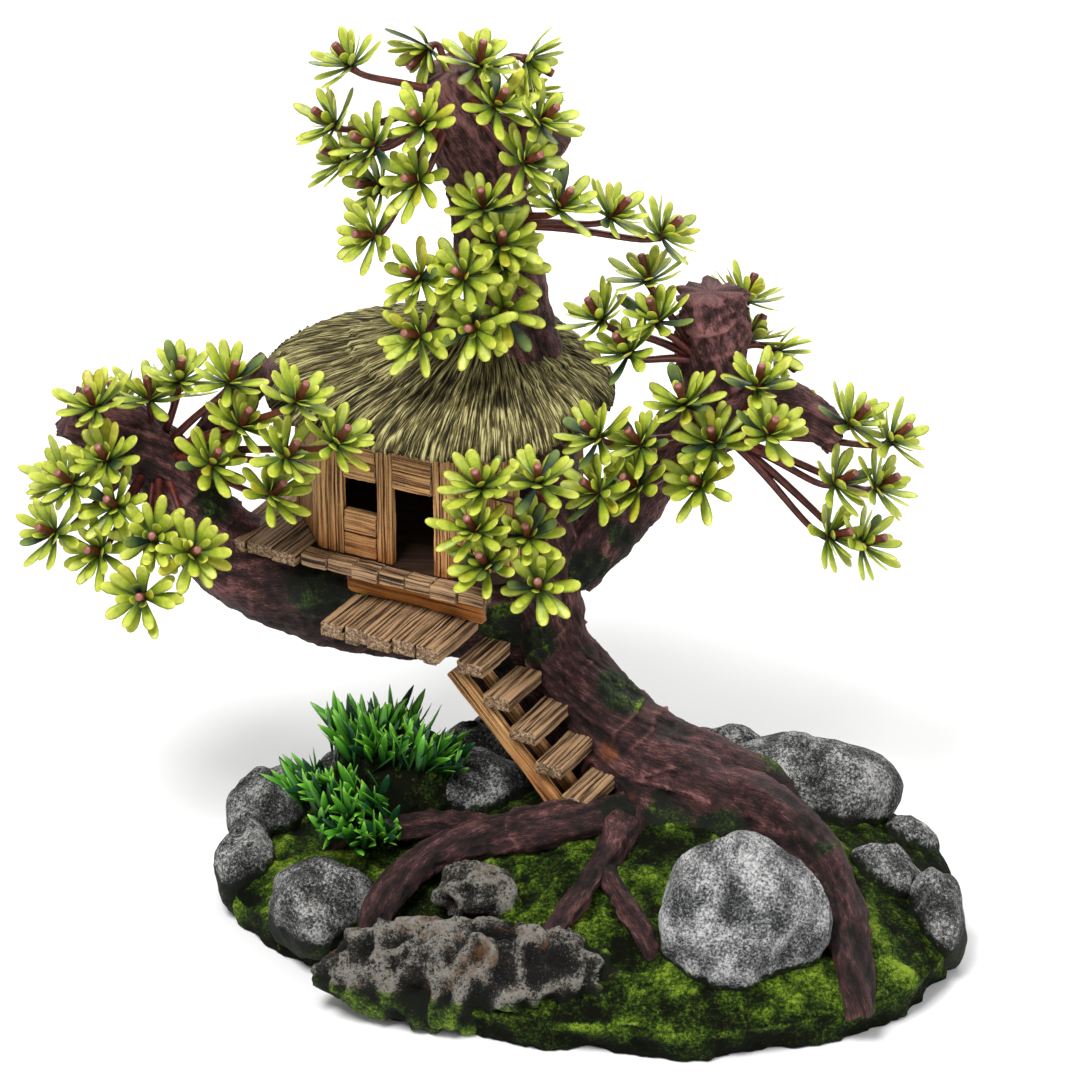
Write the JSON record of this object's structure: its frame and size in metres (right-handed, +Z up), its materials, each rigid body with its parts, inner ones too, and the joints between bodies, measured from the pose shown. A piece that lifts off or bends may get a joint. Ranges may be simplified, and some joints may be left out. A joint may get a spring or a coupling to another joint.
{
  "type": "tree house ornament",
  "caption": "Cast ornament of a thatched hut in a gnarled tree, with plank decks, a stair, a rocky mossy base, clipped-on plastic foliage and a grass tuft.",
  "frame": {"origin": "on the flat underside, under the middle of the base", "axes": "+X to the right along the front of the base, +Y to the back, +Z up"},
  "size_m": [0.2394, 0.1779, 0.2203],
  "materials": {
    "mossy_ground": "matte",
    "cast_rock": "matte",
    "painted_bark": "matte",
    "weathered_boards": "matte",
    "orange_board": "matte",
    "thatch": "matte",
    "leaf_plastic": "satin",
    "twig_plastic": "satin",
    "grass_plastic": "satin"
  },
  "bodies": {
    "root": {"ground_base": "mossy_ground", "moss_mound": "mossy_ground", "rock_front_large": "cast_rock", "rock_front_rough": "cast_rock", "rocks_left": "cast_rock", "rocks_right": "cast_rock", "rocks_back": "cast_rock", "trunk_lower": "painted_bark", "trunk_upper": "painted_bark", "trunk_stub_right": "painted_bark", "limb_left": "painted_bark", "limb_left_branch": "painted_bark", "limb_right": "painted_bark", "limb_right_stub": "painted_bark", "root_right": "painted_bark", "root_left_front": "painted_bark", "root_left_back": "painted_bark", "root_fork": "painted_bark", "hut_floor": "weathered_boards", "front_wall_left_post": "weathered_boards", "front_wall_sill_boards": "weathered_boards", "front_wall_window_head": "weathered_boards", "front_wall_middle_post": "weathered_boards", "front_wall_door_head": "weathered_boards", "front_wall_door_post": "weathered_boards", "wall_front_left": "weathered_boards", "wall_left": "weathered_boards", "wall_back_left": "weathered_boards", "wall_back": "weathered_boards", "wall_back_right": "weathered_boards", "wall_front_right": "weathered_boards", "thatched_roof": "thatch", "deck_planks_front": "weathered_boards", "deck_planks_left": "weathered_boards", "deck_fascia_board": "orange_board", "landing_planks": "weathered_boards", "landing_beams": "weathered_boards", "stair_treads": "weathered_boards", "stair_stringer_front": "weathered_boards", "stair_stringer_back": "weathered_boards", "twigs_left": "twig_plastic", "twigs_top": "twig_plastic", "twigs_middle": "twig_plastic", "twigs_right_upper": "twig_plastic", "twigs_right": "twig_plastic", "twigs_front": "twig_plastic", "leaves_left": "leaf_plastic", "leaves_top": "leaf_plastic", "leaves_middle": "leaf_plastic", "leaves_right_upper": "leaf_plastic", "leaves_right": "leaf_plastic", "leaves_front": "leaf_plastic", "grass_tuft": "grass_plastic"}
  },
  "joints": []
}
